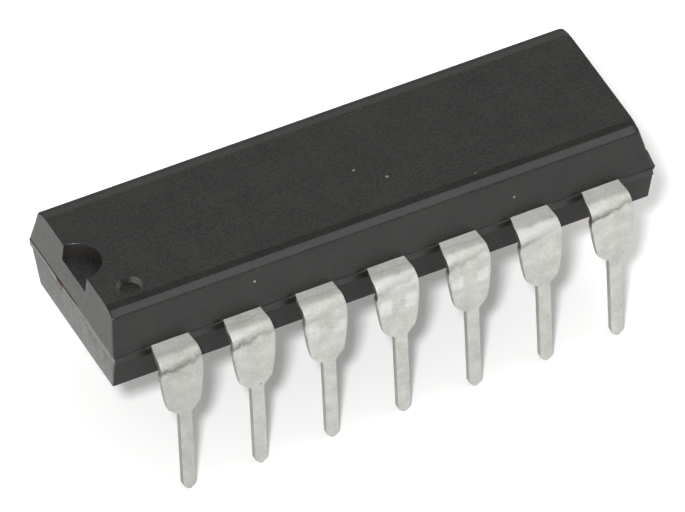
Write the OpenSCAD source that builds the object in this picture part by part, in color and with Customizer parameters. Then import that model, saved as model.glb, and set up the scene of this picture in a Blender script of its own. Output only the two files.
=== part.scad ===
// Fourteen-lead dual in-line chip package: a moulded resin body round a stamped lead frame.
// Millimetres, +Z up. The origin is between the two rows, level with the tips of the leads,
// and +X runs along the rows, away from the notch. Lead 1 is at the notch end of the -Y row,
// and the numbers run along that row and back along the other one.

/* [Body] */
// Length of the upper mould half at the seam
body_len = 19.1; // [18.9:0.05:19.6]
// Width across the seam ledge
body_w = 6.67; // [6.4:0.01:7.1]
// Height of the upper half above the lead frame
upper_h = 1.475; // [1.2:0.025:2]
// Height of the lower half below the lead frame
lower_h = 1.325; // [1.1:0.025:1.8]
// Underside of the body above the tips of the leads
standoff = 4.35; // [4.1:0.05:4.8]
// Slope of each long side over the upper half
upper_side_in = 0.375; // [0.1:0.005:0.5]
// Slope of each end over the upper half
upper_end_in = 0.235; // [0.05:0.005:0.4]
// Slope of each long side over the lower half
lower_side_in = 0.47; // [0.1:0.01:0.6]
// Slope of each end over the lower half
lower_end_in = 0.02; // [0:0.01:0.3]
// Width of the bevel along the two long top edges
bevel_w = 0.27; // [0.05:0.01:0.4]
// Drop of that bevel
bevel_h = 0.13; // [0.05:0.01:0.3]

/* [Mould seam] */
// How far the seam ledge stands out from the upper half
ledge_out = 0.075; // [0.02:0.005:0.15]
// How far it stands out from the lower half
seam_in = 0.035; // [0.01:0.005:0.1]
// How much shorter than the body the lower mould half is at the seam
lower_short = 0.04; // [0:0.01:0.16]
// How far the middle of the upper half lies toward the notch
upper_shift = 0.06; // [-0.15:0.005:0.15]
// How far the middle of the lower half lies toward the notch
lower_shift = 0.02; // [-0.15:0.005:0.15]

/* [Notch and marks] */
// Radius of the half-round notch at the lead 1 end
notch_r = 0.9; // [0.5:0.05:1.2]
// Depth of the notch
notch_depth = 0.55; // [0.2:0.05:0.9]
// Radius of the round lead 1 mark
mark_r = 0.42; // [0.25:0.01:0.5]
// Depth of the mark
mark_depth = 0.22; // [0.05:0.01:0.4]
// Taper of the wall of the mark
mark_taper = 0.08; // [0:0.01:0.15]
// Centre of the mark in from the end of the flat top
mark_in_x = 1.11; // [0.7:0.01:1.6]
// Centre of the mark in from the long edge of the flat top
mark_in_y = 0.79; // [0.6:0.01:1.2]
// Width of the broken moulding gate at the far end
gate_w = 1.2; // [0.6:0.1:2]
// How far the gate stands out at the seam
gate_out = 0.16; // [0.1:0.01:0.4]
// Height above the seam at which the gate starts
gate_rise = 0.6; // [0.3:0.05:1]
// Near side of the gate in from the long side of the body
gate_in = 0.2; // [0.1:0.05:1]
// Radius of the two ejector marks in the underside
ejector_r = 0.75; // [0.4:0.05:1.2]
// Depth of the ejector marks
ejector_depth = 0.08; // [0.02:0.01:0.2]
// Distance between the ejector marks
ejector_spacing = 10; // [6:0.5:14]

/* [Leads] */
// Distance between neighbouring leads
lead_pitch = 2.54; // [2.5:0.01:2.56]
// How much further apart the two rows are at the tips than the body is wide
row_gap = 0.95; // [0.8:0.01:1.5]
// Lean of the leads toward each other, in degrees
lead_lean = 3.5; // [0:0.1:5]
// Thickness of the lead frame
lead_t = 0.25; // [0.2:0.01:0.3]
// Inside radius of the bend
bend_r = 0.18; // [0.12:0.01:0.25]
// Width of a lead where it leaves the body
exit_w = 1.33; // [1.1:0.01:1.5]
// Width of the blade below the bend
blade_w = 1.47; // [1.3:0.01:1.6]
// Width of the blade at its lower corners
blade_end_w = 1.12; // [0.8:0.01:1.2]
// How far the blade lies to one side of the pin, toward the notch in lead 1's row
blade_shift = 0.035; // [0:0.005:0.06]
// Width of the pin
pin_w = 0.45; // [0.38:0.01:0.56]
// Length of the pin below the shoulders
pin_len = 3.46; // [2.9:0.02:3.8]
// Height of the shoulders
shoulder_h = 0.34; // [0.15:0.01:0.5]
// Width of the flat at the tip
tip_w = 0.1; // [0.05:0.01:0.3]
// Height of the point
tip_h = 0.2; // [0.1:0.01:0.4]
// Stub that the cut dam bar leaves on the blade's edge, on the same side
stub_out = 0.03; // [0.01:0.01:0.08]
// Height of that stub
stub_h = 0.42; // [0.2:0.01:0.6]
// Distance of the stub below the bend
stub_drop = 0.08; // [0.02:0.01:0.3]

/* [Lead frame inside the body] */
// Length of the pad under the die
pad_len = 3; // [2.4:0.1:3.4]
// Width of the pad
pad_w = 2.2; // [1.8:0.1:2.4]
// How far the pad lies below the leads
downset = 0.2; // [0.05:0.01:0.3]
// Width of the bars that carried the pad
tie_w = 0.35; // [0.25:0.01:0.4]
// Place of a bar's cut end off the centre line
tie_offset = 0.95; // [0.6:0.05:1.1]
// Width of an inner finger
finger_w = 0.4; // [0.3:0.01:0.44]
// Space between fingers, and between fingers and pad
finger_gap = 0.25; // [0.2:0.01:0.3]
// Depth to which a lead keeps its full width
root_depth = 0.55; // [0.3:0.01:0.7]
// Length of a finger's sloping stretch
finger_sweep = 1; // [0.8:0.05:1.1]

/* [Die and wires] */
// Length of the silicon die
die_len = 1.7; // [1.2:0.1:2.2]
// Width of the die
die_w = 1.4; // [1:0.1:1.6]
// Thickness of the die
die_t = 0.28; // [0.2:0.01:0.4]
// Thickness of the glue under the die
glue_t = 0.03; // [0.02:0.01:0.06]
// Glue that shows round the die
glue_rim = 0.06; // [0.02:0.01:0.15]
// Bond pads in from the edge of the die
bond_in = 0.12; // [0.08:0.01:0.2]
// Distance between neighbouring bond pads
bond_pitch = 0.36; // [0.2:0.01:0.42]
// Diameter of a bond wire
wire_d = 0.025; // [0.02:0.001:0.05]
// Diameter of the ball on the die
ball_d = 0.08; // [0.06:0.005:0.1]
// Height of the ball
ball_h = 0.025; // [0.015:0.005:0.04]
// Height of the wire loop above the die
loop_h = 0.18; // [0.14:0.01:0.3]
// Radius of the bend at the top of the loop
loop_r = 0.08; // [0.04:0.01:0.1]
// Stitch bond in from the end of a finger
stitch_in = 0.15; // [0.1:0.01:0.3]

/* [Hidden] */
row_leads = 7;
$fn = 48;
arc_fn = 160;
wire_sides = 8;
loop_steps = 4;
slack = 0.5;

frame_bot = standoff + lower_h;
frame_top = frame_bot + lead_t;
body_top = frame_top + upper_h;
ledge_y = body_w / 2;
upper_y = ledge_y - ledge_out;
lower_y = ledge_y - seam_in;
flat_y = upper_y - upper_side_in - bevel_w;
left_seam = -upper_shift - body_len / 2;
right_seam = body_len / 2 - upper_shift;
left_top = left_seam + upper_end_in;
right_top = right_seam - upper_end_in;
lower_len = body_len - lower_short;
lower_left = -lower_shift - lower_len / 2;
lower_right = lower_len / 2 - lower_shift;
left_end = min(left_seam, lower_left);
right_end = max(right_seam, lower_right);
// Half of the outline seen from the end, from the underside up.
end_view = [
    [lower_y - lower_side_in, standoff], [lower_y, frame_bot], [ledge_y, frame_bot],
    [ledge_y, frame_top], [upper_y, frame_top],
    [upper_y - upper_side_in, body_top - bevel_h], [flat_y, body_top]];

row_spacing = body_w + row_gap;
bend_out = bend_r + lead_t;
bend_z = frame_top - bend_out;
blade_len = (bend_z - bend_out * sin(lead_lean)) / cos(lead_lean);
bend_y = row_spacing / 2 - (bend_r + lead_t / 2) * cos(lead_lean) + blade_len * sin(lead_lean);

pad_top = frame_top - downset;
die_bot = pad_top + glue_t;
die_top = die_bot + die_t;
lane_3 = (tie_w + finger_w) / 2 + finger_gap;
lane_2 = lane_3 + finger_w + finger_gap;
tip_x = pad_len / 2 + finger_gap;
tip_y = pad_w / 2 + finger_gap;
root_y = ledge_y - root_depth;

function unit(v) = v / norm(v);
function left_of(v) = [-v[1], v[0]];
// The point beside corner i of path p, h to its left, on the mitre of the two stretches.
function beside(p, i, h) =
    let (a = unit(i > 0 ? p[i] - p[i - 1] : p[1] - p[0]),
         b = unit(i < len(p) - 1 ? p[i + 1] - p[i] : p[i] - p[i - 1]),
         n = unit(left_of(a + b)))
    p[i] + n * h / (n * left_of(a));
// Outline of a strip of width w along path p.
function strip(p, w) = concat(
    [for (i = [0:len(p) - 1]) beside(p, i, w / 2)],
    [for (i = [len(p) - 1:-1:0]) beside(p, i, -w / 2)]);

// A lead's number along its own row, from -3 to 3, and its distance from the row's middle.
function along(i) = (i - 1) % row_leads - 3;
// Route of the finger of lead k = 0 to 3, from the body's wall to the pad.
function finger_path(k) =
    let (x = k * lead_pitch, start = [x, -root_y - root_depth / 2])
    k == 0 ? [start, [0, -tip_y]] :
    k == 1 ? [start, [x, -tip_y - finger_sweep - finger_w / 4], [pad_len / 3, -tip_y - finger_w],
              [pad_len / 3, -tip_y]] :
    k == 2 ? [start, [x, -lane_2 - finger_sweep], [x - 1.4 * finger_sweep, -lane_2],
              [tip_x, -lane_2]] :
    [start, [x, -lane_3 - finger_sweep], [x - finger_sweep, -lane_3], [tip_x, -lane_3]];
// Where the wire of lead k is stitched to its finger, and where it starts on the die.
function stitch_at(k) =
    let (p = finger_path(k), n = len(p) - 1)
    p[n] - stitch_in * unit(p[n] - p[n - 1]);
function bond_at(k) =
    k < 2 ? [k * bond_pitch, bond_in - die_w / 2] :
    [die_len / 2 - bond_in, (k == 2 ? -1.5 : -0.5) * bond_pitch];

module in_row(i) rotate([0, 0, i > row_leads ? 180 : 0]) children();

module mirrored_to(j) mirror([j < 0 ? 1 : 0, 0, 0]) children();

// The flat part of a lead: the inner finger, the wide root and the stretch up to the bend.
module finger(i) {
    j = along(i);
    x = abs(j) * lead_pitch;
    side = j < 0 ? -blade_shift : blade_shift;
    in_row(i) mirrored_to(j) translate([0, 0, frame_bot]) linear_extrude(lead_t) {
        polygon(strip(finger_path(abs(j)), finger_w));
        translate([x, 0]) polygon([
            [-exit_w / 2, -root_y], [exit_w / 2, -root_y],
            [exit_w / 2, -ledge_y], [blade_w / 2 - side, -bend_y],
            [-blade_w / 2 - side, -bend_y], [-exit_w / 2, -ledge_y]]);
    }
}

// Outline of the blade and the pin, with the bend at y = 0 and the tip at y = -blade_len.
module blade_outline() {
    shoulder = pin_len - blade_len;
    corner = shoulder + shoulder_h;
    drop = -stub_drop - corner;
    narrowing = (blade_w - blade_end_w) / 2;
    side_r = (drop * drop + narrowing * narrowing) / (2 * narrowing);
    translate([-blade_shift, -stub_drop]) {
        translate([-blade_w / 2, 0]) square([blade_w, stub_drop]);
        // The long edges curve in toward the lower corners.
        intersection() {
            translate([-blade_w / 2, -drop]) square([blade_w, drop]);
            translate([blade_w / 2 - side_r, 0]) circle(side_r, $fn = arc_fn);
            translate([side_r - blade_w / 2, 0]) circle(side_r, $fn = arc_fn);
        }
        translate([-blade_w / 2 - stub_out, -stub_h]) square([pin_w, stub_h]);
    }
    polygon([
        [-blade_end_w / 2 - blade_shift, corner], [blade_end_w / 2 - blade_shift, corner],
        [pin_w / 2, shoulder], [pin_w / 2, tip_h - blade_len], [tip_w / 2, -blade_len],
        [-tip_w / 2, -blade_len], [-pin_w / 2, tip_h - blade_len], [-pin_w / 2, shoulder]]);
}

// The bend and the blade below it, outward along +X from the middle of the body.
module elbow_and_blade() {
    translate([bend_y, 0, bend_z]) {
        rotate([90, 0, 0]) rotate([0, 0, -lead_lean])
            rotate_extrude(angle = 90 + lead_lean)
                translate([bend_r, blade_shift - blade_w / 2]) square([lead_t, blade_w]);
        rotate([0, lead_lean, 0]) translate([bend_r, 0, 0])
            rotate([90, 0, 90]) linear_extrude(lead_t) blade_outline();
    }
}

module lead(i) color([0.78, 0.79, 0.76]) {
    finger(i);
    in_row(i) translate([along(i) * lead_pitch, 0, 0]) rotate([0, 0, -90]) elbow_and_blade();
}

// One bar from the pad to an end of the body: up from the pad, then a step to one side.
module tie_bar() {
    step_x = 3 * lead_pitch + (finger_w + tie_w) / 2 + finger_gap;
    slope_x = tip_x + finger_sweep;
    far_x = body_len / 2 + slack;
    intersection() {
        translate([0, 0, frame_bot - downset - slack]) linear_extrude(downset + 3 * slack)
            polygon(strip([[pad_len / 2 - slack, 0], [step_x, 0],
                           [step_x + 2 * finger_gap, tie_offset], [far_x, tie_offset]], tie_w));
        rotate([90, 0, 0]) translate([0, 0, -tie_offset - slack])
            linear_extrude(2 * (tie_offset + slack)) polygon([
                [pad_len / 2, pad_top], [tip_x, pad_top], [slope_x, frame_top],
                [far_x, frame_top], [far_x, frame_bot], [slope_x, frame_bot],
                [tip_x, pad_top - lead_t], [pad_len / 2, pad_top - lead_t]]);
    }
}

// The pad and its two bars, cut off flush with the ends of the body.
module pad_shape() {
    translate([-pad_len / 2, -pad_w / 2, pad_top - lead_t]) cube([pad_len, pad_w, lead_t]);
    intersection() {
        union() {
            mirror([0, 1, 0]) tie_bar();
            mirror([1, 0, 0]) tie_bar();
        }
        translate([left_end, -body_w / 2, standoff])
            cube([right_end - left_end, body_w, lower_h + upper_h]);
    }
}

module die_pad() color([0.72, 0.45, 0.28]) pad_shape();

module glue_shape() {
    translate([-die_len / 2 - glue_rim, -die_w / 2 - glue_rim, pad_top])
        cube([die_len + 2 * glue_rim, die_w + 2 * glue_rim, glue_t]);
}

module die_glue() color([0.6, 0.6, 0.62]) glue_shape();

module die_shape() {
    translate([-die_len / 2, -die_w / 2, die_bot]) cube([die_len, die_w, die_t]);
}

module die() color([0.3, 0.32, 0.38]) die_shape();

// Side view of the wire of lead k, away from its ball: up, round the top of the loop, and
// down to its stitch. The die's top is at height 0.
function wire_path(k) =
    let (reach = norm(stitch_at(k) - bond_at(k)) - loop_r,
         rise = loop_h - loop_r,
         drop = die_top + rise - frame_top,
         dip = atan2(drop, reach) + asin(loop_r / norm([reach, drop])))
    concat([[0, 0]],
        [for (i = [0:loop_steps])
            let (a = 180 - (90 + dip) * i / loop_steps)
            [loop_r + loop_r * cos(a), rise + loop_r * sin(a)]],
        [[loop_r + reach, frame_top - die_top]]);

// One ring of the wire at point i of its path. The last ring lies flat on the finger.
function wire_ring(p, i) =
    [for (j = [0:wire_sides - 1])
        let (a = 360 * (j + 0.5) / wire_sides,
             q = beside(p, i, wire_d / 2 * sin(a)),
             last = i == len(p) - 1,
             run = last ? p[i] - p[i - 1] : [0, 0],
             t = last ? (p[i][1] - q[1]) / run[1] : 0)
        [q[0] + t * run[0], wire_d / 2 * cos(a), q[1] + t * run[1]]];

// A gold wire from its ball on the die to its stitch on the finger of lead i.
module wire_shape(i) {
    k = abs(along(i));
    from = bond_at(k);
    to = stitch_at(k);
    p = wire_path(k);
    n = wire_sides;
    in_row(i) mirrored_to(along(i)) translate([from[0], from[1], die_top])
        rotate([0, 0, atan2(to[1] - from[1], to[0] - from[0])]) {
            cylinder(d = ball_d, h = ball_h);
            polyhedron(
                [for (r = [0:len(p) - 1]) each wire_ring(p, r)],
                concat([[for (j = [n - 1:-1:0]) j]],
                    [for (r = [0:len(p) - 2], j = [0:n - 1])
                        [r * n + j, r * n + (j + 1) % n, (r + 1) * n + (j + 1) % n, (r + 1) * n + j]],
                    [[for (j = [0:n - 1]) (len(p) - 1) * n + j]]));
        }
}

module bond_wire(i) color([0.95, 0.76, 0.3]) wire_shape(i);

// The two mould halves, the seam ledge and the broken gate, as the overlap of a side view and
// an end view.
module moulding() {
    start_x = right_seam - upper_end_in * gate_rise / upper_h;
    intersection() {
        union() {
            rotate([90, 0, 0]) translate([0, 0, -body_w]) linear_extrude(2 * body_w) polygon([
                [lower_left + lower_end_in, standoff], [lower_right - lower_end_in, standoff],
                [lower_right, frame_bot], [right_end, frame_bot], [right_end, frame_top],
                [right_seam, frame_top], [right_top, body_top], [left_top, body_top],
                [left_seam, frame_top], [left_end, frame_top], [left_end, frame_bot],
                [lower_left, frame_bot]]);
            translate([0, gate_in + gate_w - ledge_y, 0]) rotate([90, 0, 0])
                linear_extrude(gate_w) polygon([
                    [right_seam - slack, frame_bot], [right_end + gate_out / 2, frame_bot],
                    [right_end + gate_out, frame_bot + lead_t / 2],
                    [start_x, frame_top + gate_rise], [right_seam - slack, frame_top]]);
        }
        rotate([90, 0, 90]) translate([0, 0, -body_len]) linear_extrude(2 * body_len)
            polygon(concat(end_view, [for (i = [len(end_view) - 1:-1:0])
                [-end_view[i][0], end_view[i][1]]]));
    }
}

// Everything that the resin flows round.
module cores() {
    for (i = [1:2 * row_leads]) {
        finger(i);
        wire_shape(i);
    }
    pad_shape();
    glue_shape();
    die_shape();
}

module body() color([0.25, 0.25, 0.24]) {
    difference() {
        moulding();
        translate([left_top, 0, body_top - notch_depth]) cylinder(r = notch_r, h = notch_depth + slack);
        translate([left_top + mark_in_x, mark_in_y - flat_y, body_top - mark_depth])
            cylinder(r1 = mark_r - mark_taper, r2 = mark_r, h = mark_depth);
        for (s = [-1, 1]) translate([s * ejector_spacing / 2, 0, standoff - slack])
            cylinder(r = ejector_r, h = ejector_depth + slack);
        cores();
    }
}

body();
die_pad();
die_glue();
die();
for (i = [1:2 * row_leads]) {
    lead(i);
    bond_wire(i);
}
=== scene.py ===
import math

import bmesh
import bpy
from mathutils import Matrix, Vector, noise


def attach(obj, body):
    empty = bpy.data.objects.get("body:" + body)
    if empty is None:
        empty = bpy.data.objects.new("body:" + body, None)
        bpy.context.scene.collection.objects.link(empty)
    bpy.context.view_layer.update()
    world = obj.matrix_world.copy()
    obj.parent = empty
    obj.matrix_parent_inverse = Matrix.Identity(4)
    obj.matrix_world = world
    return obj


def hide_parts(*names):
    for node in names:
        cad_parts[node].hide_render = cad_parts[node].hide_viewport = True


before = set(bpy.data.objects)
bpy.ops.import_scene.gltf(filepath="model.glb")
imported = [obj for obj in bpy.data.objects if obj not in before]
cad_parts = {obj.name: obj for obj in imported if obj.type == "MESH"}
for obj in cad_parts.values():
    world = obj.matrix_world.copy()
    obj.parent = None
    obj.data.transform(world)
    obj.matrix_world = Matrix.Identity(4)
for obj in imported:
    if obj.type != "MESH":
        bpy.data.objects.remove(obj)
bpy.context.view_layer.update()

# Camera.
# The chip is seen from the front left and above, through a long lens far away, so that its
# edges stay nearly parallel. The camera leans a little to one side.
camera_turn, camera_rise, camera_lean = (math.radians(a) for a in (-21.960, 41.682, -4.564))
camera_reach = 0.590874
aim = Vector((-0.000278, -0.000327, 0.004))

toward_camera = Vector((math.sin(camera_turn) * math.cos(camera_rise),
                        -math.cos(camera_turn) * math.cos(camera_rise), math.sin(camera_rise)))
level = Vector((math.cos(camera_turn), math.sin(camera_turn), 0))
upright = toward_camera.cross(level)
right = math.cos(camera_lean) * level + math.sin(camera_lean) * upright
up = math.cos(camera_lean) * upright - math.sin(camera_lean) * level

camera_data = bpy.data.cameras.new("camera")
camera_data.sensor_width = 36
camera_data.lens = 964.6
camera_data.clip_start = 0.05
camera_data.clip_end = 20
camera = bpy.data.objects.new("camera", camera_data)
camera.matrix_world = Matrix.Translation(aim + camera_reach * toward_camera) @ Matrix(
    (right, up, toward_camera)).transposed().to_4x4()
bpy.context.scene.collection.objects.link(camera)
bpy.context.scene.camera = camera
bpy.context.scene.view_settings.view_transform = "Standard"


# Floor, room and lamps.
# A sheet of white paper under the chip, in a white room with a dark band high up behind it. One
# soft lamp stands by the camera, and a soft box hangs over the chip.
def material(name):
    """A new material, its nodes and its shader."""
    made = bpy.data.materials.new(name)
    made.use_nodes = True
    return made, made.node_tree.nodes, made.node_tree.nodes["Principled BSDF"]


def feed(made, **values):
    """Sets a node's inputs. A value is a plain one, or another node's output to join there."""
    for key, value in values.items():
        socket = made.inputs[int(key[1:]) if key[1:].isdigit() else key.replace("_", " ")]
        if isinstance(value, bpy.types.NodeSocket):
            made.id_data.links.new(value, socket)
        else:
            socket.default_value = value


def node(nodes, kind, operation=None, **values):
    """A new node, and what it is fed with."""
    made = nodes.new("ShaderNode" + kind)
    if operation:
        made.operation = operation
    feed(made, **values)
    return made


def reckon(nodes, operation, *values):
    """The result of one sum."""
    inputs = {f"_{i}": value for i, value in enumerate(values)}
    return node(nodes, "Math", operation, **inputs).outputs[0]


def times(nodes, first, second):
    return reckon(nodes, "MULTIPLY", first, second)


def ramp(nodes, value, start, end, low=0, high=1):
    """Goes from low to high while the value goes from start to end, and is level beyond them."""
    return node(nodes, "MapRange", Value=value, From_Min=start, From_Max=end, To_Min=low,
                To_Max=high).outputs[0]


def between(nodes, factor, low, high):
    """From low to high, by a factor from 0 to 1."""
    return ramp(nodes, factor, 0, 1, low, high)


paper_half = 2.5
paper_white = (0.87, 0.87, 0.87, 1)
paper_glow = 0.10

paper_mesh = bpy.data.meshes.new("paper")
paper_mesh.from_pydata([(-paper_half, -paper_half, 0), (paper_half, -paper_half, 0),
                        (paper_half, paper_half, 0), (-paper_half, paper_half, 0)],
                       [], [(0, 1, 2, 3)])
paper = bpy.data.objects.new("paper", paper_mesh)
bpy.context.scene.collection.objects.link(paper)
paper_material, nodes, shader = material("white_paper")
feed(shader, Base_Color=paper_white, Roughness=1, Specular_IOR_Level=0)
ray = node(nodes, "LightPath").outputs
seen = reckon(nodes, "MAXIMUM", ray["Is Camera Ray"], ray["Is Glossy Ray"])
glow = node(nodes, "Emission", Color=(1, 1, 1, 1), Strength=times(nodes, seen, paper_glow))
both = node(nodes, "AddShader", _0=shader.outputs[0], _1=glow.outputs[0])
feed(nodes["Material Output"], Surface=both.outputs[0])
paper_mesh.materials.append(paper_material)

room = bpy.data.worlds.new("room")
bpy.context.scene.world = room
room.use_nodes = True
nodes = room.node_tree.nodes
room_white = (1, 0.995, 0.975, 1)
front_light, top_light, back_light, band_light = 0.70, 0.50, 0.77, 0.46
# Where the band fades in, and the front turns to the top, by how far a direction goes back or up.
band_near, band_far, band_low, front_end = (0.30, 0.38), (0.67, 0.61), (0.45, 0.55), (-0.2, 0.2)
toward = node(nodes, "SeparateXYZ", Vector=node(nodes, "TexCoord").outputs["Generated"]).outputs
past_near = ramp(nodes, toward["Y"], *band_near)
before_far = ramp(nodes, toward["Y"], *band_far)
front = ramp(nodes, toward["Y"], *front_end, front_light, top_light)
plain = between(nodes, before_far, back_light, front)
in_band = times(nodes, reckon(nodes, "MINIMUM", past_near, before_far),
                ramp(nodes, toward["Z"], *band_low))
feed(nodes["Background"], Color=room_white, Strength=between(nodes, in_band, plain, band_light))


def lamp(name, place, target, size, power):
    data = bpy.data.lights.new(name, "AREA")
    data.shape = "DISK"
    data.size = size
    data.energy = power
    made = bpy.data.objects.new(name, data)
    place = Vector(place)
    made.matrix_world = Matrix.Translation(place) @ (
        place - Vector(target)).to_track_quat("Z", "Y").to_matrix().to_4x4()
    bpy.context.scene.collection.objects.link(made)


lamp("lamp_by_the_camera", (-0.254, -0.501, 0.569), (0, 0, 0.003), 0.07, 5.4)
lamp("soft_box", (0.14, 0.0, 0.48), (0, 0, 0.005), 0.25, 0.32)


# Die pad with its two bars.
# A plate in the middle of the stamped copper lead frame, on a bar at each end that held it in
# the strip. The bars are cut off flush with the resin, and the cut ends show as copper.
def mixed(nodes, factor, first, second):
    """Colour between two others, by a factor from 0 to 1."""
    made = nodes.new("ShaderNodeMix")
    made.data_type = "RGBA"
    feed(made, _0=factor, _6=first, _7=second)
    return made.outputs[2]


def pattern_group(name, inputs, outputs):
    """An empty node group with its named inputs and outputs, and its two end nodes."""
    tree = bpy.data.node_groups.new(name, "ShaderNodeTree")
    for label, kind, value in inputs:
        socket = tree.interface.new_socket(label, in_out="INPUT", socket_type=kind)
        if value is not None:
            socket.default_value = value
    for label in outputs:
        tree.interface.new_socket(label, in_out="OUTPUT", socket_type="NodeSocketFloat")
    return tree, tree.nodes.new("NodeGroupInput").outputs, tree.nodes.new("NodeGroupOutput")


# Grain: a fine noise and a broad one, each from 0 to 1 about 0.5. Sizes are in millimetres.
grain, taken, given = pattern_group(
    "grain", [("Place", "NodeSocketVector", None), ("Fine", "NodeSocketFloat", 0.05),
              ("Broad", "NodeSocketFloat", 1.0)], ["Fine", "Broad"])
for label, detail in (("Fine", 3), ("Broad", 4)):
    per_metre = reckon(grain.nodes, "DIVIDE", 1000, taken[label])
    cloudy = node(grain.nodes, "TexNoise", Vector=taken["Place"], Scale=per_metre, Detail=detail,
                  Roughness=0.55)
    feed(given, **{label: ramp(grain.nodes, cloudy.outputs[0], 0.3, 0.7)})

# Specks: round spots scattered a millimetre or so apart, 1 in a spot and 0 outside.
specks, taken, given = pattern_group(
    "specks", [("Place", "NodeSocketVector", None), ("Apart", "NodeSocketFloat", 1.0),
               ("Radius", "NodeSocketFloat", 0.1), ("Share", "NodeSocketFloat", 0.3)], ["Spot"])
cells = node(specks.nodes, "TexVoronoi", Vector=taken["Place"],
             Scale=reckon(specks.nodes, "DIVIDE", 1000, taken["Apart"]), Randomness=1).outputs
lucky = node(specks.nodes, "SeparateColor", Color=cells["Color"]).outputs
inside = reckon(specks.nodes, "LESS_THAN", cells["Distance"],
                times(specks.nodes, lucky[1], taken["Radius"]))
chosen = reckon(specks.nodes, "LESS_THAN", lucky[0], taken["Share"])
feed(given, Spot=times(specks.nodes, inside, chosen))


def placed_group(nodes, tree, **values):
    """Outputs of a node group that is placed in a material with values of its own."""
    made = nodes.new("ShaderNodeGroup")
    made.node_tree = tree
    feed(made, **values)
    return made.outputs


bright_copper = (0.30, 0.15, 0.085, 1)
dull_copper = (0.040, 0.029, 0.023, 1)

copper, nodes, shader = material("bare_copper")
where = node(nodes, "TexCoord").outputs["Object"]
sheared = placed_group(nodes, grain, Place=where, Fine=0.09, Broad=0.35)
smeared = ramp(nodes, sheared["Fine"], 0.45, 0.7)
bump = node(nodes, "Bump", Height=sheared["Fine"], Strength=0.5, Distance=0.00001)
feed(shader, Base_Color=mixed(nodes, smeared, dull_copper, bright_copper), Metallic=0.5,
     Roughness=between(nodes, sheared["Fine"], 0.35, 0.6), Normal=bump.outputs[0])


def dress(pieces, made):
    """Gives pieces their finish."""
    for piece in pieces:
        piece.data.materials.clear()
        piece.data.materials.append(made)


dress([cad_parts["die_pad"]], copper)

# Glue under the die.
# Silver-filled glue, squeezed out a little past the edges of the die and cured.
glue_grey, flake_grey = (0.36, 0.36, 0.35, 1), (0.66, 0.66, 0.64, 1)
silver_glue, nodes, shader = material("silver_glue")
where = node(nodes, "TexCoord").outputs["Object"]
flakes = placed_group(nodes, grain, Place=where, Fine=0.02, Broad=0.2)
bump = node(nodes, "Bump", Height=flakes["Fine"], Strength=0.4, Distance=0.000005)
feed(shader, Base_Color=mixed(nodes, flakes["Fine"], glue_grey, flake_grey), Metallic=0.6,
     Roughness=between(nodes, flakes["Broad"], 0.4, 0.65), Normal=bump.outputs[0])
dress([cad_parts["die_glue"]], silver_glue)

# Die.
# A sawn square of polished silicon, held on the pad by the glue. A fine grid of cells and tracks
# lies in the layers that are grown on it.
cell_blue, cell_brown = (0.16, 0.20, 0.24, 1), (0.24, 0.22, 0.20, 1)
track_grey, layer_blue = (0.42, 0.42, 0.38, 1), (0.20, 0.24, 0.30, 1)
silicon, nodes, shader = material("silicon")
where = node(nodes, "TexCoord").outputs["Object"]
cells = node(nodes, "TexBrick", Vector=where, Color1=cell_blue, Color2=cell_brown,
             Mortar=track_grey, Scale=4000, Mortar_Size=0.03)
layers = placed_group(nodes, grain, Place=where, Fine=0.03, Broad=0.3)
feed(shader, Base_Color=mixed(nodes, layers["Fine"], cells.outputs[0], layer_blue), Metallic=0.7,
     Roughness=between(nodes, layers["Broad"], 0.12, 0.25))
dress([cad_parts["die"]], silicon)

# Bond wires.
# One gold wire a lead, melted to a ball on the die and pressed to a stitch on the finger.
deep_gold, pale_gold = (0.86, 0.58, 0.20, 1), (0.98, 0.74, 0.34, 1)
gold, nodes, shader = material("gold")
where = node(nodes, "TexCoord").outputs["Object"]
drawn = placed_group(nodes, grain, Place=where, Fine=0.01, Broad=0.15)
feed(shader, Base_Color=mixed(nodes, drawn["Broad"], deep_gold, pale_gold), Metallic=1,
     Roughness=between(nodes, drawn["Fine"], 0.18, 0.32))
dress([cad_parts[f"bond_wire_{i}"] for i in range(1, 15)], gold)

# Moulded body.
# Black resin pressed round the lead frame between two mould halves. They met at the seam, where
# a ledge and a ragged flash stand out. The gate broke off at one end, mould pins left the notch,
# the mark of lead 1 and two ejector marks, and the sharp edges are rounded a little.

# Sizes are in millimetres. frame_z is the height of the lead frame's middle.
pitch = 2.54
underside, seam_low, frame_z, seam_high, body_top = 4.35, 5.675, 5.8, 5.919, 7.4
body_half, body_left = 3.335, -9.60
seam_left, seam_right = -9.598, 9.49
top_left, top_right = -9.345, 9.295


def upper(half, z, reach):
    """A corner of the upper half at a height, where its ends slope in."""
    t = (z - seam_high) / (body_top - seam_high)
    return (half, seam_left + t * (top_left - seam_left),
            seam_right + t * (top_right - seam_right), z, reach)


# Corners of the outline up the body: half width, left end, right end, height, and how far the
# rounding of the corner reaches along each side. The first and last only give a direction.
steps = [
    (2.40, -9.10, 9.05, underside, 0),
    (2.83, -9.53, 9.49, underside, 0.03),
    (3.30, -9.55, 9.50, seam_low, 0.02),
    (body_half, body_left, 9.51, seam_low, 0.016),
    (body_half, body_left, 9.51, seam_high, 0.03),
    upper(3.26, seam_high, 0.02),
    upper(3.2502, 5.954, 0),
    upper(3.2402, 5.990, 0),
    upper(3.2302, 6.026, 0),
    upper(3.2263, 6.040, 0),
    upper(3.1180, 6.450, 0),
    upper(3.0300, 6.800, 0),
    upper(2.920, 7.2495, 0.05),
    upper(2.632, 7.3635, 0.02),
    upper(2.352, body_top, 0.025),
    upper(2.00, body_top, 0)]
# Parts of each rounding up the body, of each corner in plan, and of the sides between those.
round_parts, corner_parts, long_parts, short_parts = 4, 4, 150, 60
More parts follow.
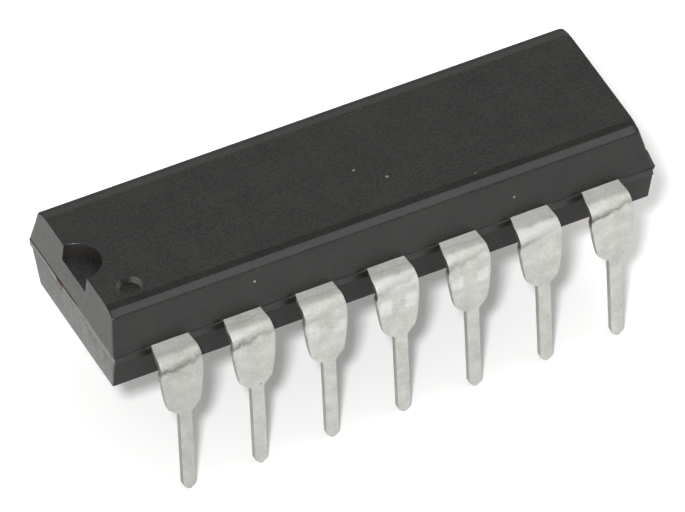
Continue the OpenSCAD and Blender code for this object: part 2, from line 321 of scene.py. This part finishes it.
# The corners of the right end have a larger radius at the top.
corner_r, right_more_r = 0.06, 0.12
right_round_from, right_round_over = 6.9, 0.4


def rounded(corners, parts):
    """The outline with each corner replaced by a small curve."""
    made = []
    for before, here, after in zip(corners, corners[1:], corners[2:]):
        b, h, a = Vector(before[:4]), Vector(here[:4]), Vector(after[:4])
        if not here[4]:
            made.append(h)
            continue
        start = h + (b - h) * min(here[4] / (b - h).length, 0.49)
        end = h + (a - h) * min(here[4] / (a - h).length, 0.49)
        for i in range(parts + 1):
            t = i / parts
            made.append((1 - t) ** 2 * start + 2 * t * (1 - t) * h + t * t * end)
    return made


def plan_points(half, left, right, z):
    """Rectangle with rounded corners, seen from above, anticlockwise from the near left."""
    right_r = corner_r + right_more_r * min(1, max(0, (z - right_round_from) / right_round_over))
    inner_left, inner_right = left + corner_r, right - right_r
    near, right_near = -half + corner_r, -half + right_r
    away, right_away = half - corner_r, half - right_r
    # Each corner's radius and middle, and where the side after it ends.
    corners = ((corner_r, inner_left, near, inner_right, -half),
               (right_r, inner_right, right_near, right, right_away),
               (right_r, inner_right, right_away, inner_left, half),
               (corner_r, inner_left, away, left, near))
    points = []
    for i, (r, cx, cy, ahead_x, ahead_y) in enumerate(corners):
        for k in range(corner_parts + 1):
            a = math.radians(180 + 90 * i + 90 * k / corner_parts)
            points.append((cx + r * math.cos(a), cy + r * math.sin(a)))
        x, y = points[-1]
        parts = (long_parts, short_parts)[i % 2]
        points += [(x + (ahead_x - x) * k / parts, y + (ahead_y - y) * k / parts)
                   for k in range(1, parts)]
    return points


# Points beyond end_x lie on an end of the body, and points beyond side_y on a long side. The
# groove runs over the flash of the notch end, and the wedge fills the foot of the long sides
# between the leads, from wedge_from beside a lead's middle. A factor in noise sets how fine its
# waves are, and a plain number there only picks a pattern.
end_x, side_y = 9.3, 3.2
groove_low, groove_high, groove_near, groove_deep = 5.94, 6.0, -0.6, 0.045
wedge_y, wedge_low, wedge_high, wedge_end = 3.1, seam_high + 0.01, 6.6, 8.9
wedge_thick, wedge_from, wedge_over = 0.04, 0.72, 0.16
burr, burr_reach = 0.04, 0.04
ridge_half, wave_high = 0.19, 0.012
# At the notch end the edge of the flash lies back by these, and the lower half's edge stands out.
back_all, back_far, back_ragged, ragged_high = 0.012, 0.035, 0.018, 0.02
lip_top, lip_out, lip_over = seam_low + 0.03, 0.05, 0.3


def flash(x, y, z):
    """Waves of the resin along the seam, and the ragged flash and groove at the notch end."""
    if x < -end_x and groove_low < z < groove_high and y > groove_near:
        uneven = 1 + 0.5 * noise.noise(Vector((y * 3, 5, 5)))
        return x + groove_deep * min(1, (y - groove_near) * 4) * uneven, y, z
    if abs(y) > wedge_y and wedge_low < z < wedge_high:
        apart = abs(x / pitch - round(x / pitch)) * pitch if abs(x) < wedge_end else 1
        filled = min(1, max(0, (apart - wedge_from) / wedge_over))
        y += math.copysign(wedge_thick, y) * filled * min(1, wedge_high + 0.2 - z)
    if y < -side_y and abs(z - seam_low) < burr_reach:
        z += burr * noise.noise(Vector((x * 1.7, 2.1, 8.4)))
    off = max(0, 1 - abs(z - frame_z) / ridge_half)
    wave = wave_high * noise.noise(Vector((x * 2.2, y * 2.2, z * 3))) * min(1, off * 3)
    x += wave * (1 if x < 0 else -1) if abs(x) > end_x else 0
    if x < -end_x:
        near = min(1, max(0, 0.5 - y / 3))
        ragged = noise.noise(Vector((y * 4.1, z * 6, 3.7))) + 0.5 * noise.noise(
            Vector((y * 11, z * 9, 1.3)))
        x += off * (back_far * (1 - near) + back_ragged * ragged + back_all)
        z += off * ragged_high * ragged * near
        if z < lip_top:
            x -= near * lip_out * max(0, 1 - (lip_top - z) / lip_over)
    y += wave * (-1 if y > 0 else 1) if abs(y) > side_y else 0
    return max(x, body_left), max(-body_half, min(body_half, y)), z


def tube_faces(rings, around, clockwise=False):
    """Faces of a tube of so many rings, each of so many points, and of its two ends."""
    sides = [[r * around + k, r * around + (k + 1) % around, (r + 1) * around + (k + 1) % around,
              (r + 1) * around + k] for r in range(rings - 1) for k in range(around)]
    last = (rings - 1) * around
    ends = [list(range(around)), list(range(last, last + around))[::-1]]
    if clockwise:
        return [[a, d, c, b] for a, b, c, d in sides] + ends
    return sides + [end[::-1] for end in ends]


def solid(name, points, faces):
    mesh = bpy.data.meshes.new(name)
    mesh.from_pydata(points, [], faces)
    mesh.validate()
    made = bpy.data.objects.new(name, mesh)
    bpy.context.scene.collection.objects.link(made)
    return made


rings = [[flash(x, y, z) for x, y in plan_points(half, left, right, z)]
         for half, left, right, z in rounded(steps, round_parts)]
mould = solid("resin_body", [p for ring in rings for p in ring],
              tube_faces(len(rings), len(rings[0])))


def round_pin(name, x, y, outline, parts=72):
    """A mould pin, which leaves its own shape in the resin: radii and heights, from below."""
    ring = [(math.cos(2 * math.pi * k / parts), math.sin(2 * math.pi * k / parts))
            for k in range(parts)]
    points = [(x + r * c, y + r * s, z) for r, z in outline for c, s in ring]
    return solid(name, points, tube_faces(len(outline), parts))


notch_x, notch_r, notch_deep, notch_rim = -9.375, 0.9, 0.55, 0.008
mark_x, mark_y, mark_floor_r, mark_r, mark_deep = -8.265, -1.825, 0.34, 0.434, 0.22
ejector_x, ejector_r, ejector_deep = 5, 0.75, 0.08
pins = [
    round_pin("notch_pin", notch_x, 0, [
        (notch_r, body_top - notch_deep), (notch_r, body_top - notch_rim),
        (notch_r + notch_rim, body_top), (notch_r + 0.1, body_top + 0.092)], 96),
    round_pin("mark_pin", mark_x, mark_y, [
        (mark_floor_r, body_top - mark_deep), (mark_r - 0.02, body_top - 0.016),
        (mark_r, body_top), (mark_r + 0.05, body_top + 0.04)])]
pins += [round_pin("ejector_pin", x, 0, [
    (ejector_r + 0.12, underside - 0.1), (ejector_r, underside + 0.02),
    (ejector_r, underside + ejector_deep)]) for x in (-ejector_x, ejector_x)]


def applied(piece):
    """Applies the piece's modifiers to its mesh."""
    seen_now = piece.evaluated_get(bpy.context.evaluated_depsgraph_get())
    mesh = bpy.data.meshes.new_from_object(seen_now)
    piece.modifiers.clear()
    old, piece.data = piece.data, mesh
    bpy.data.meshes.remove(old)
    mesh.name = piece.name


for pin in pins:
    cut = mould.modifiers.new("cut", "BOOLEAN")
    cut.operation = "DIFFERENCE"
    cut.solver = "EXACT"
    cut.object = pin
applied(mould)
for pin in pins:
    bpy.data.objects.remove(pin)

# The gate: where the resin flowed in, a rough wedge is left after the runner broke off. Its
# outline is seen along Y. Beyond gate_root it is rough, and stands out less at its far end.
gate_y, gate_wide, gate_root, gate_tip, gate_rough_below = -3.12, 1.16, 9.4, 9.66, 6.3
gate_far_out = 0.65
gate_outline = [(9.35, 5.70), (9.60, 5.69), (gate_tip, 5.80), (9.61, 5.93), (9.44, 6.50),
                (9.35, 6.50)]
gate_steps = 14
gate_points = []
for j in range(gate_steps + 1):
    t = j / gate_steps
    fade = min(1, 8 * (1 - t)) * (1 - gate_far_out) + gate_far_out
    for x, z in gate_outline:
        y = gate_y + gate_wide * t
        rough = min(1, 4 * t) * noise.noise(Vector((x * 9, y * 7, z * 9)))
        out = max(0, x - gate_root) * fade * (1 + 0.5 * rough)
        gate_points.append((min(gate_tip, min(x, gate_root) + out), y,
                            z + 0.03 * rough * (z < gate_rough_below)))
gate = solid("gate", gate_points, tube_faces(gate_steps + 1, len(gate_outline), clockwise=True))


def finished(piece, others=()):
    """Joins the others to the piece, brings it from millimetres to metres and smooths it."""
    whole = bmesh.new()
    for part in (piece, *others):
        whole.from_mesh(part.data)
    for part in others:
        bpy.data.objects.remove(part)
    bmesh.ops.scale(whole, vec=(0.001, 0.001, 0.001), verts=whole.verts)
    whole.to_mesh(piece.data)
    whole.free()
    piece.data.shade_smooth()
    piece.data.set_sharp_from_angle(angle=math.radians(40))
    weight = piece.modifiers.new("even_shade", "WEIGHTED_NORMAL")
    weight.keep_sharp = True
    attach(piece, "root")


finished(mould, [gate])
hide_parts("body")


def ramp_mm(nodes, value, start, end, low=0, high=1):
    """A ramp whose start and end are in millimetres, for a value in metres."""
    return ramp(nodes, value, start / 1000, end / 1000, low, high)


resin_dark = (0.0003, 0.0003, 0.0002, 1)
resin_light = (0.0155, 0.0147, 0.0136, 1)
filler_white = (0.17, 0.165, 0.155, 1)
# Pale resin dust, also used as painted sheen and painted light on the ends, ledge, mark and lower
# half.
pale_dust_and_painted_light = (0.16, 0.153, 0.143, 1)
# Painted shade tone for the upright walls of the notch and the mark.
pit_painted_shade = (0.018, 0.016, 0.015, 1)
resin, nodes, shader = material("resin")
where = node(nodes, "TexCoord").outputs["Object"]
placed = node(nodes, "SeparateXYZ", Vector=where).outputs
looks = node(nodes, "SeparateXYZ", Vector=node(nodes, "NewGeometry").outputs["Normal"]).outputs
spark = placed_group(nodes, grain, Place=where, Fine=0.09, Broad=1.1)
flat_top = ramp(nodes, looks["Z"], 0.993, 0.998)
tone = reckon(nodes, "MULTIPLY_ADD", reckon(nodes, "SUBTRACT", spark["Fine"], 0.5),
              reckon(nodes, "MULTIPLY_ADD", flat_top, 0.8, 0.5),
              reckon(nodes, "MULTIPLY_ADD", spark["Broad"], 0.35, 0.35))
body_tone = mixed(nodes, tone, resin_dark, resin_light)
filler = placed_group(nodes, specks, Place=where, Apart=0.93, Radius=0.07, Share=0.6)
body_tone = mixed(nodes, filler["Spot"], body_tone, filler_white)

# Pale dust of the broken flash on the two ends, partly real and partly a painted sheen that
# stands in for the bright room reflected there: most of it on the lower half, toward the near side
# and on the ridge of the seam. The upright wall of the notch takes none of it.
pit_low = body_top - notch_deep - 0.01
sideways = reckon(nodes, "ABSOLUTE", looks["X"])
pit_wall = times(nodes, ramp(nodes, looks["Z"], 0.10, 0.05),
                 reckon(nodes, "GREATER_THAN", placed["Z"], pit_low / 1000))
on_end = node(nodes, "Math", "SUBTRACT", _0=ramp(nodes, sideways, 0.5, 0.8), _1=pit_wall)
on_end.use_clamp = True
on_end = on_end.outputs[0]
wavy = reckon(nodes, "MULTIPLY_ADD", spark["Broad"], 0.16 / 1000, placed["Z"])
lower = ramp_mm(nodes, wavy, 6.05, 5.97)
ridge = times(nodes, lower, ramp_mm(nodes, wavy, 5.78, 5.88))
# Painted sheen: the lower half of the ends grows lighter toward the near side.
near_sheen = ramp_mm(nodes, placed["Y"], 2.5, -2, 0.24, 0.40)
end_dust_and_sheen = reckon(nodes, "MULTIPLY_ADD", ridge, 0.30, between(nodes, lower, 0.14, near_sheen))
dust_and_sheen_patches = placed_group(nodes, grain, Place=where, Fine=0.15, Broad=0.3)
dust_and_painted_light = times(nodes, end_dust_and_sheen, between(nodes, dust_and_sheen_patches["Fine"], 0.35, 1.65))

# Painted light in the same pale colour: a little on the top of the ledge, more on the walls of
# the mark that look along X, and a trace on everything low down.
ledge_painted_light = times(nodes, ramp_mm(nodes, placed["Z"], 5.97, 5.94), ramp(nodes, looks["Z"], 0.4, 0.8))
ledge_painted_light = times(nodes, times(nodes, ledge_painted_light, 0.18), dust_and_sheen_patches["Broad"])
dust_and_painted_light = reckon(nodes, "MULTIPLY_ADD", dust_and_painted_light, on_end, ledge_painted_light)
from_mark = node(nodes, "VectorMath", "DISTANCE", _0=where,
                 _1=(mark_x / 1000, mark_y / 1000, (body_top - 0.1) / 1000)).outputs["Value"]
mark_wall = times(nodes, reckon(nodes, "LESS_THAN", from_mark, 0.46 / 1000),
                  ramp(nodes, looks["Z"], 0.95, 0.85))
# Painted light: the walls of the mark that look along X are made lighter.
mark_painted_light = ramp(nodes, sideways, 0.25, 0.6, 0, 0.32)
dust_and_painted_light = reckon(nodes, "MULTIPLY_ADD", mark_wall, mark_painted_light, dust_and_painted_light)
# Painted light: everything below the seam is made a trace lighter.
low_painted_light = ramp_mm(nodes, placed["Z"], 5.68, 5.60)
dust_and_painted_light = reckon(nodes, "MULTIPLY_ADD", low_painted_light, 0.02, dust_and_painted_light)
# Painted shade: the upright walls of the notch and the mark take one flat grey in place of the
# resin's grain, set to how those walls look in the shade of their recess.
body_tone = mixed(nodes, pit_wall, body_tone, pit_painted_shade)

# The flat top is matt, the slopes by it shine more, and the pits, the lower half and the far
# side least.
down = ramp(nodes, looks["Z"], -0.1, -0.25)
away = ramp(nodes, looks["Y"], 0.15, 0.3)
dull = reckon(nodes, "MAXIMUM", reckon(nodes, "MAXIMUM", down, away), mark_wall)
slope = reckon(nodes, "SUBTRACT", ramp(nodes, looks["Z"], 0.975, 0.985), flat_top)
matt = reckon(nodes, "MULTIPLY_ADD", flat_top, 0.20, 0.28)
matt = reckon(nodes, "MULTIPLY_ADD", slope, -0.14, matt)
matt = reckon(nodes, "MULTIPLY_ADD", on_end, 0.07, matt)
matt = between(nodes, dull, matt, 0.75)
relief = times(nodes, spark["Fine"], reckon(nodes, "MULTIPLY_ADD", flat_top, 0.6, 0.4))
bump = node(nodes, "Bump", Height=relief, Strength=0.5, Distance=0.000014)
feed(shader, Base_Color=mixed(nodes, dust_and_painted_light, body_tone, pale_dust_and_painted_light),
     Roughness=reckon(nodes, "MULTIPLY_ADD", spark["Fine"], 0.08, matt),
     Normal=bump.outputs[0], Specular_IOR_Level=0.46)
dress([mould], resin)

# Leads.
# Fourteen strips of the same copper sheet, stamped out together. Each finger lies in the resin,
# and outside it the strip is plated with tin, cut free of the dam bar that joined it to its
# neighbours, bent down and left with a pointed pin.
thick = 0.25
bend_r = 0.18
lean = math.radians(3.5)
wall, bend_at = body_half, 3.840
bend_turn = math.radians(90) + lean
middle_r = bend_r + thick / 2
bend_s = bend_at - wall
blade_s = bend_s + middle_r * bend_turn
blade_long, pin_long, point_long, shoulder_high = 5.479, 3.46, 0.2, 0.34
# The blade's middle lies this much beside the pin's.
shift = 0.035
half_exit, half_blade, half_corner, half_pin, half_tip = 0.665, 0.735, 0.56, 0.225, 0.05
outer_edge_r, inner_edge_r = 0.028, 0.012
# Places along the strip, from the body's side outward and down to the tip.
root_s = -0.55
tip_s = blade_s + blade_long
stub_top, stub_low, stub_out, stub_slope = blade_s + 0.08, blade_s + 0.50, 0.03, 0.02
shoulder_s = tip_s - pin_long
corner_s = shoulder_s - shoulder_high
point_s = tip_s - point_long
# The blade's sides narrow from the stub to the corner along an arc of this radius.
side_drop = corner_s - stub_top
side_r = (side_drop ** 2 + (half_blade - half_corner) ** 2) / (2 * (half_blade - half_corner))


def half_widths(s):
    """How far the strip reaches to each side of the pin's middle at s along it."""
    if s < 0:
        return -half_exit, half_exit
    if s < bend_s:
        t = s / bend_s
        return (-half_exit + t * (half_exit - half_blade - shift),
                half_exit + t * (half_blade - shift - half_exit))
    if s < corner_s:
        u = max(0, s - stub_top)
        half = half_blade - side_r + math.sqrt(side_r ** 2 - u * u)
        out = stub_out * min(1, u / stub_slope, max(0, stub_low - s) / stub_slope)
        return -half - shift - out, half - shift
    if s < shoulder_s:
        t = (s - corner_s) / shoulder_high
        return (-half_corner - shift + t * (half_corner + shift - half_pin),
                half_corner - shift - t * (half_corner - shift - half_pin))
    if s < point_s:
        return -half_pin, half_pin
    t = (s - point_s) / (tip_s - point_s)
    half = half_pin - t * (half_pin - half_tip)
    return -half, half


def softened(s, reach=0.035):
    """The same with its corners worn, as a mean over a short stretch of the strip."""
    spots = [s - reach, s - reach / 2, s, s + reach / 2, s + reach]
    both = [half_widths(min(v, tip_s)) for v in spots]
    return sum(b[0] for b in both) / len(spots), sum(b[1] for b in both) / len(spots)


def on_strip(s):
    """Place outward and up of the strip's middle at s, and which way its outer face looks."""
    if s < bend_s:
        return wall + s, frame_z, 0, 1
    turn = min((s - bend_s) / middle_r, bend_turn)
    out = bend_at + middle_r * math.sin(turn)
    high = frame_z - middle_r + middle_r * math.cos(turn)
    on = max(0, s - blade_s)
    return (out + on * math.cos(bend_turn), high - on * math.sin(bend_turn),
            math.sin(turn), math.cos(turn))


def even(start, end, parts):
    """Places from the start to the end, in even steps."""
    return [start + (end - start) * i / parts for i in range(parts + 1)]


def close_by(s):
    """Places closer together round a corner of the outline."""
    return [s - 0.03, s - 0.015, s, s + 0.015, s + 0.03]


stations = even(root_s, 0, 4) + even(0, bend_s, 5)[1:] + even(bend_s, blade_s, 20)[1:]
stations += [stub_top + step for step in (-0.02, 0, 0.01, 0.02, 0.04)]
stations += even(stub_top + 0.08, stub_top + 0.32, 4)
stations += [stub_low + step for step in (-0.03, -0.02, -0.01, 0, 0.02)]
stations += even(stub_low + 0.06, corner_s - 0.05, 14) + close_by(corner_s)
stations += even(corner_s + 0.05, shoulder_s - 0.05, 5) + close_by(shoulder_s)
stations += even(shoulder_s + 0.06, point_s - 0.05, 16) + close_by(point_s)
stations += even(point_s + 0.05, tip_s - 0.02, 5) + [tip_s]


def section(left, right):
    """Cross section: the face that met the punch first has rounder edges."""
    outer, inner = thick / 2 - outer_edge_r, -thick / 2 + inner_edge_r
    points = []
    for cx, cn, r, start, parts in (
            (left + outer_edge_r, outer, outer_edge_r, 180, 4),
            (right - outer_edge_r, outer, outer_edge_r, 90, 4),
            (right - inner_edge_r, inner, inner_edge_r, 0, 2),
            (left + inner_edge_r, inner, inner_edge_r, -90, 2)):
        for k in range(parts + 1):
            a = math.radians(start - 90 * k / parts)
            points.append((cx + r * math.cos(a), cn + r * math.sin(a)))
    return points


# The points of the cross section that lie on its two sheared sides.
cut_side = [1, 1, 0, 0, 0, 0, 0, 0, 1, 1, 1, 1, 0, 0, 1, 1]

# Routes of the fingers in the resin, for the leads 0 to 3 places from the row's middle.
finger_wide, finger_y = 0.4, -3.0
# Where a finger's points lie in the pattern along the strip, in millimetres.
finger_mark = -2
routes = [[(0, finger_y), (0, -1.35)],
          [(pitch, finger_y), (pitch, -2.45), (1, -1.75), (1, -1.35)],
          [(2 * pitch, finger_y), (2 * pitch, -2.275), (3.68, -1.275), (1.75, -1.275)],
          [(3 * pitch, finger_y), (3 * pitch, -1.625), (6.62, -0.625), (1.75, -0.625)]]


def strip_sides(route, half):
    """Left and right side points of a flat strip along a route, mitred at its turns."""
    points = [Vector(p) for p in route]
    sides = [[], []]
    for i, p in enumerate(points):
        a = (points[max(i, 1)] - points[max(i, 1) - 1]).normalized()
        j = min(i, len(points) - 2)
        b = (points[j + 1] - points[j]).normalized()
        n = Vector((-a.y - b.y, a.x + b.x)).normalized()
        reach = half / n.dot(Vector((-a.y, a.x)))
        sides[0].append(p + n * reach)
        sides[1].append(p - n * reach)
    return sides


# How strong each mark is on most of the leads, and on those that differ.
lead_marks = {
    "pressed": (0.1, {3: 0.8, 4: 1, 5: 1, 6: 0.4, 9: 1, 12: 0.8}),
    "smudged": (0.6, {1: 1, 2: 0.8, 3: 0.3, 7: 0.9}),
    # Painted shade: a dark line where the bend begins, for the shade of a crease.
    "crease_shade": (0.1, {2: 0.7, 3: 0.6, 4: 0.8, 5: 1, 10: 0.8, 13: 0.7}),
    "bare_exit": (0.1, {1: 0.9, 2: 0, 5: 0.6, 6: 0.8, 7: 0.7}),
    "smudge_up": (0.1, {2: 0.3, 4: 1, 5: 0.9, 6: 0.4}),
    # Painted highlight: a bright band on the bend.
    "painted_bend_highlight": (0.1, {1: 0, 3: 0, 4: 0.4, 5: 0.2, 6: 0.4, 7: 0}),
    "worn": (0.1, {1: 1, 2: 0.3}),
    "sheared": (0.6, {1: 0.5, 2: 0.5, 3: 0.5, 4: 0.8, 5: 0.9, 6: 0.9, 7: 1})}


def keep(mesh, name, values, kind="FLOAT"):
    """Keeps a value, or a place, at each point of the mesh."""
    made = mesh.attributes.new(name, kind, "POINT")
    made.data.foreach_set("value" if kind == "FLOAT" else "vector", values)


def lead(number):
    """One lead in millimetres, with its place along and across the strip kept at each point."""
    along = (number - 1) % 7 - 3
    far = -1 if number > 7 else 1
    points, marks, cuts = [], [], []
    for s in stations:
        o, z, no, nz = on_strip(s)
        for (w, n), cut in zip(section(*softened(s)), cut_side):
            points.append((far * (along * pitch + w), -far * (o + n * no), z + n * nz))
            marks.append((w, s, n))
            cuts.append(cut)
    faces = tube_faces(len(stations), len(cut_side), clockwise=True)
    first = len(points)
    left, right = strip_sides(routes[abs(along)], finger_wide / 2)
    turn = -1 if along < 0 else 1
    for n in (-thick / 2, thick / 2):
        for p in left + right[::-1]:
            points.append((far * turn * p.x, far * p.y, frame_z + n))
            marks.append((p.x, finger_mark, n))
            cuts.append(1)
    faces += [[first + k for k in face] for face in tube_faces(2, 2 * len(left))]
    piece = solid(f"plated_lead_{number}", points, faces)
    tidy = bmesh.new()
    tidy.from_mesh(piece.data)
    bmesh.ops.recalc_face_normals(tidy, faces=tidy.faces)
    tidy.to_mesh(piece.data)
    tidy.free()
    places = [v * 0.001 for mark in marks for v in mark]
    keep(piece.data, "along_strip", places, "FLOAT_VECTOR")
    keep(piece.data, "cut_side", cuts)
    keep(piece.data, "own_marks", [number] * len(points))
    for name, (usual, others) in lead_marks.items():
        keep(piece.data, name, [others.get(number, usual)] * len(points))
    return piece


leads = [lead(number) for number in range(1, 15)]
for number, piece in enumerate(leads, 1):
    finished(piece)
    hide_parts(f"lead_{number}")

tin_light = (0.503, 0.506, 0.473, 1)
tin_dark = (0.297, 0.301, 0.278, 1)
# Brighter tin, for the burnished flats and the worn exits, and for the painted highlight on the
# bend.
tin_bright = (0.53, 0.54, 0.525, 1)
# Grime, also used for the painted shade of the crease where the bend begins.
grime_and_shade = (0.13, 0.125, 0.115, 1)
torn_copper = (0.085, 0.042, 0.033, 1)

tin, nodes, shader = material("tin_plate")


def kept(nodes, name, output="Fac"):
    """What was kept on the mesh under this name."""
    made = nodes.new("ShaderNodeAttribute")
    made.attribute_name = name
    return made.outputs[output]


def band(nodes, value, middle, half, soft):
    """1 where a value is within half of the middle, fading out over soft, all in millimetres."""
    away = reckon(nodes, "ABSOLUTE", reckon(nodes, "SUBTRACT", value, middle / 1000))
    return ramp_mm(nodes, away, half + soft, half)


# Each lead takes its pattern from a place of its own, so that no two are marked alike.
pattern_apart = 0.0137
along_strip, side = kept(nodes, "along_strip", "Vector"), kept(nodes, "cut_side")
own_place = node(nodes, "CombineXYZ", X=times(nodes, kept(nodes, "own_marks"), pattern_apart))
where = node(nodes, "VectorMath", "ADD", _0=along_strip, _1=own_place.outputs[0]).outputs[0]
plating = placed_group(nodes, grain, Place=where, Fine=0.07, Broad=0.5)
tone = reckon(nodes, "MULTIPLY_ADD", plating["Fine"], 0.45, times(nodes, plating["Broad"], 0.55))
colour = mixed(nodes, tone, tin_dark, tin_light)

# Places across and along the strip, each with a wave so that no mark has a straight edge.
strip = node(nodes, "SeparateXYZ", Vector=along_strip).outputs
across = reckon(nodes, "MULTIPLY_ADD", plating["Fine"], 0.12 / 1000, strip["X"])
along = reckon(nodes, "MULTIPLY_ADD", plating["Broad"], 0.18 / 1000, strip["Y"])

# Bright flats where the bending tool pressed the blade, to the left and right of its middle.
flats = times(nodes, band(nodes, along, blade_s + 0.66, 0.22, 0.14),
              band(nodes, reckon(nodes, "ABSOLUTE", across), 0.445, 0.16, 0.09))
flats = times(nodes, times(nodes, flats, ramp(nodes, plating["Broad"], -0.3, 0.6)),
              kept(nodes, "pressed"))
colour = mixed(nodes, flats, colour, tin_bright)

# Grime that the tool wiped into a smudge under the bend, and a faint painted shade line where
# the bend begins, standing in for the shade of a crease.
tilted = reckon(nodes, "MULTIPLY_ADD", strip["X"], 0.11, along)
tilted = reckon(nodes, "MULTIPLY_ADD", kept(nodes, "smudge_up"), 0.12 / 1000, tilted)
core = times(nodes, band(nodes, tilted, blade_s + 0.03, 0, 0.045),
             ramp(nodes, plating["Fine"], 0.3, 0.7))
smudge = reckon(nodes, "MULTIPLY_ADD", core, 0.6,
                times(nodes, band(nodes, tilted, blade_s + 0.01, 0.01, 0.12), 0.95))
to_left = ramp_mm(nodes, strip["X"], -0.7, 0.9, 1, 0.45)
smudge = times(nodes, times(nodes, smudge, to_left), kept(nodes, "smudged"))
# Painted shade line where the bend begins, darker on some leads.
crease_painted_shade = times(nodes, band(nodes, along, bend_s - 0.13, 0.01, 0.06), kept(nodes, "crease_shade"))
smudge_and_crease_shade = reckon(nodes, "MAXIMUM", smudge, times(nodes, crease_painted_shade, 0.3))
colour = mixed(nodes, smudge_and_crease_shade, colour, grime_and_shade)
colour = mixed(nodes, times(nodes, kept(nodes, "worn"), 0.2), colour, grime_and_shade)

# Bright wear on the exit, a painted highlight on the bend, and small dark pits.
on_exit = ramp_mm(nodes, along, bend_s + 0.1, bend_s - 0.1)
rubbed = times(nodes, times(nodes, on_exit, kept(nodes, "bare_exit")), 0.35)
colour = mixed(nodes, rubbed, colour, tin_bright)
# Painted highlight: a bright band across the bend, stronger on some leads.
painted_bend_highlight = times(nodes, band(nodes, along, bend_s + 0.32, 0.12, 0.12), kept(nodes, "painted_bend_highlight"))
colour = mixed(nodes, painted_bend_highlight, colour, tin_bright)
pits = placed_group(nodes, specks, Place=where, Apart=0.5, Radius=0.11, Share=0.16)
colour = mixed(nodes, times(nodes, pits["Spot"], 0.7), colour, grime_and_shade)

# Sheared sides: copper shows where the cut tore through the plating, most of all by the body.
torn = ramp(nodes, plating["Broad"], 0.35, 0.6)
by_body = ramp_mm(nodes, strip["Y"], blade_s, blade_s + 0.35, 0.9, 0.12)
bare = reckon(nodes, "MULTIPLY_ADD", torn, 0.3, times(nodes, kept(nodes, "sheared"), by_body))
bare = times(nodes, ramp(nodes, bare, 0.35, 0.75), side)
colour = mixed(nodes, bare, colour, torn_copper)
edge = reckon(nodes, "MULTIPLY_ADD", kept(nodes, "worn"), 0.35, 0.3)
colour = mixed(nodes, times(nodes, edge, side), colour, grime_and_shade)
bump = node(nodes, "Bump", Height=tone, Strength=0.35, Distance=0.000012)
feed(shader, Base_Color=colour, Metallic=0.15, Normal=bump.outputs[0],
     Roughness=reckon(nodes, "MULTIPLY_ADD", plating["Fine"], 0.10, 0.34))
dress(leads, tin)

bpy.context.view_layer.update()
